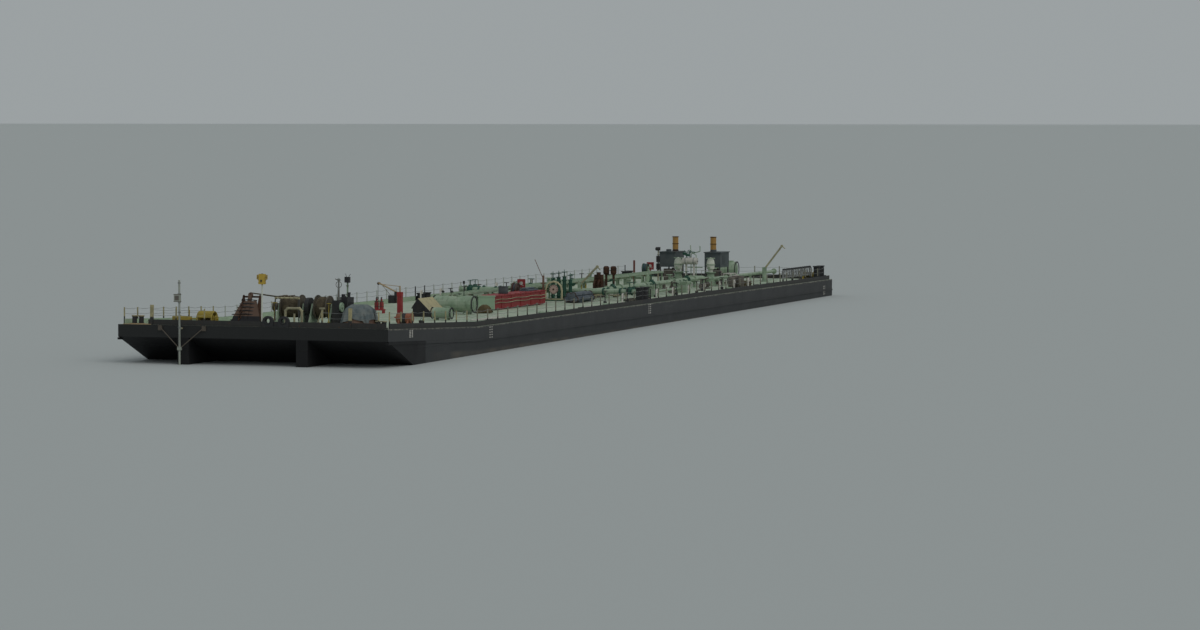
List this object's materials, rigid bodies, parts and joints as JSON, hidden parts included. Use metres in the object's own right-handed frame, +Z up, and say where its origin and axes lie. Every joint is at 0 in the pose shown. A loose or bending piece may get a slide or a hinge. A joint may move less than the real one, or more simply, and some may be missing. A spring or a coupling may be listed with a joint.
{
  "type": "river tank barge, 1:10 scale model",
  "caption": "Square-ended river tank barge model with raked bow, deck pipework, anchor winch, pump houses, hose cranes and hinged hatches.",
  "frame": {"origin": "on the flat bottom, on the centre line, amidships", "axes": "+X towards the bow, +Y to port, +Z up"},
  "size_m": [9.186, 1.654, 0.7213],
  "materials": {
    "hull_paint": "satin",
    "edge_paint": "matte",
    "cream_paint": "matte",
    "brown_canvas": "matte",
    "black_paint": "satin",
    "pale_green": "matte",
    "dark_green": "satin",
    "mustard": "satin",
    "red_paint": "satin",
    "rusty_steel": "matte",
    "house_blue": "matte",
    "winch_steel": "matte",
    "rope": "matte",
    "canvas": "matte",
    "orange_paint": "satin",
    "white_paint": "satin",
    "hose_rubber": "matte"
  },
  "bodies": {
    "barge": {"hull": "hull_paint", "port_deck_edge": "edge_paint", "starboard_deck_edge": "edge_paint", "bow_deck_edge": "edge_paint", "anchor_rack": "rusty_steel", "anchor": "rusty_steel", "anchor_winch_frame": "pale_green", "rope_guides": "cream_paint", "covered_heap": "canvas", "fore_lamp_mast": "pale_green", "oil_drum": "orange_paint", "sounder_pole": "cream_paint", "bow_hand_winch_frame": "mustard", "stern_hand_winch_frame": "mustard", "stern_deck_edge": "edge_paint", "davit_post": "red_paint", "booby_hatch": "pale_green", "extinguisher_rack": "red_paint", "long_deck_tank": "pale_green", "fore_deck_tank": "pale_green", "aft_deck_tank": "pale_green", "red_locker": "red_paint", "catwalk": "pale_green", "cargo_pipes": "pale_green", "manifold_valves": "dark_green", "hose_rack": "hose_rubber", "aft_reel_stand": "red_paint", "brown_heap": "brown_canvas", "stripping_pump": "rusty_steel", "vent_heads": "rusty_steel", "pump_1": "pale_green", "pump_2": "pale_green", "air_receiver": "white_paint", "steps": "white_paint", "wire_rack": "black_paint", "aft_lamp_mast": "cream_paint", "pump_house_1": "house_blue", "pump_house_2": "house_blue", "pump_house_1_engine": "winch_steel", "pump_house_2_engine": "winch_steel", "port_tank_hatches": "pale_green", "starboard_tank_hatches": "pale_green"},
    "anchor_drum_1": {"anchor_winch_drum_1": "winch_steel"},
    "anchor_drum_2": {"anchor_winch_drum_2": "winch_steel"},
    "bow_hand_drum": {"bow_hand_winch_drum": "mustard"},
    "stern_hand_drum": {"stern_hand_winch_drum": "mustard"},
    "davit": {"davit_boom": "black_paint"},
    "hose_reel": {"reel_drum": "red_paint"},
    "aft_hose_reel": {"aft_reel_drum": "white_paint"},
    "booby_door": {"booby_hatch_door": "pale_green"},
    "house_1_door": {"pump_house_1_door": "house_blue"},
    "house_2_door": {"pump_house_2_door": "house_blue"},
    "port_lid_1": {"port_hatch_lid_1": "pale_green"},
    "port_lid_2": {"port_hatch_lid_2": "pale_green"},
    "starboard_lid_1": {"starboard_hatch_lid_1": "pale_green"},
    "starboard_lid_2": {"starboard_hatch_lid_2": "pale_green"},
    "mid_crane_post": {"mid_crane_mast": "pale_green"},
    "mid_crane_spar": {"mid_crane_boom": "cream_paint"},
    "aft_crane_post": {"aft_crane_mast": "pale_green"},
    "aft_crane_spar": {"aft_crane_boom": "cream_paint"}
  },
  "joints": [
    {"name": "anchor_drum_1_spin", "type": "hinge", "parent": "barge", "child": "anchor_drum_1", "pos_m": [4.16619, 0.078, 0.51338], "axis": [0, 1, 0], "continuous": true},
    {"name": "anchor_drum_2_spin", "type": "hinge", "parent": "barge", "child": "anchor_drum_2", "pos_m": [4.16619, 0.267, 0.51338], "axis": [0, 1, 0], "continuous": true},
    {"name": "bow_hand_drum_spin", "type": "hinge", "parent": "barge", "child": "bow_hand_drum", "pos_m": [4.46374, -0.32, 0.45038], "axis": [0, 1, 0], "continuous": true},
    {"name": "stern_hand_drum_spin", "type": "hinge", "parent": "barge", "child": "stern_hand_drum", "pos_m": [-4.45, 0.675, 0.4023], "axis": [0, 1, 0], "continuous": true},
    {"name": "hose_reel_spin", "type": "hinge", "parent": "barge", "child": "hose_reel", "pos_m": [0.45, 0.052, 0.4683], "axis": [0, 1, 0], "continuous": true},
    {"name": "aft_hose_reel_spin", "type": "hinge", "parent": "barge", "child": "aft_hose_reel", "pos_m": [-2.97, -0.175, 0.4903], "axis": [0, 1, 0], "continuous": true},
    {"name": "davit_slew", "type": "hinge", "parent": "barge", "child": "davit", "pos_m": [2.33, -0.01, 0.5013], "axis": [0, 0, 1], "range_deg": [-150, 150]},
    {"name": "booby_door_swing", "type": "hinge", "parent": "barge", "child": "booby_door", "pos_m": [2.1923, 0.03, 0.4033], "axis": [0, 0, -1], "range_deg": [0, 115]},
    {"name": "house_1_door_swing", "type": "hinge", "parent": "barge", "child": "house_1_door", "pos_m": [-3.4228, -0.039, 0.5463], "axis": [0, 0, -1], "range_deg": [0, 110]},
    {"name": "house_2_door_swing", "type": "hinge", "parent": "barge", "child": "house_2_door", "pos_m": [-3.4228, 0.316, 0.5463], "axis": [0, 0, -1], "range_deg": [0, 110]},
    {"name": "port_lid_1_lift", "type": "hinge", "parent": "barge", "child": "port_lid_1", "pos_m": [-1.08, 0.42, 0.4416], "axis": [1, 0, 0], "range_deg": [0, 105]},
    {"name": "port_lid_2_lift", "type": "hinge", "parent": "barge", "child": "port_lid_2", "pos_m": [-1.83, 0.42, 0.4416], "axis": [1, 0, 0], "range_deg": [0, 105]},
    {"name": "starboard_lid_1_lift", "type": "hinge", "parent": "barge", "child": "starboard_lid_1", "pos_m": [-1.08, -0.42, 0.4416], "axis": [-1, 0, 0], "range_deg": [0, 105]},
    {"name": "starboard_lid_2_lift", "type": "hinge", "parent": "barge", "child": "starboard_lid_2", "pos_m": [-1.83, -0.42, 0.4416], "axis": [-1, 0, 0], "range_deg": [0, 105]},
    {"name": "mid_crane_slew", "type": "hinge", "parent": "barge", "child": "mid_crane_post", "pos_m": [-0.62, 0.13, 0.4063], "axis": [0, 0, 1], "range_deg": [-100, 100]},
    {"name": "mid_crane_luff", "type": "hinge", "parent": "mid_crane_post", "child": "mid_crane_spar", "pos_m": [-0.62, 0.13, 0.4613], "axis": [1, 0, 0], "range_deg": [-23, 32]},
    {"name": "aft_crane_slew", "type": "hinge", "parent": "barge", "child": "aft_crane_post", "pos_m": [-3.91, 0.47, 0.4063], "axis": [0, 0, 1], "range_deg": [-100, 100]},
    {"name": "aft_crane_luff", "type": "hinge", "parent": "aft_crane_post", "child": "aft_crane_spar", "pos_m": [-3.91, 0.47, 0.4613], "axis": [1, 0, 0], "range_deg": [-32, 26]}
  ]
}
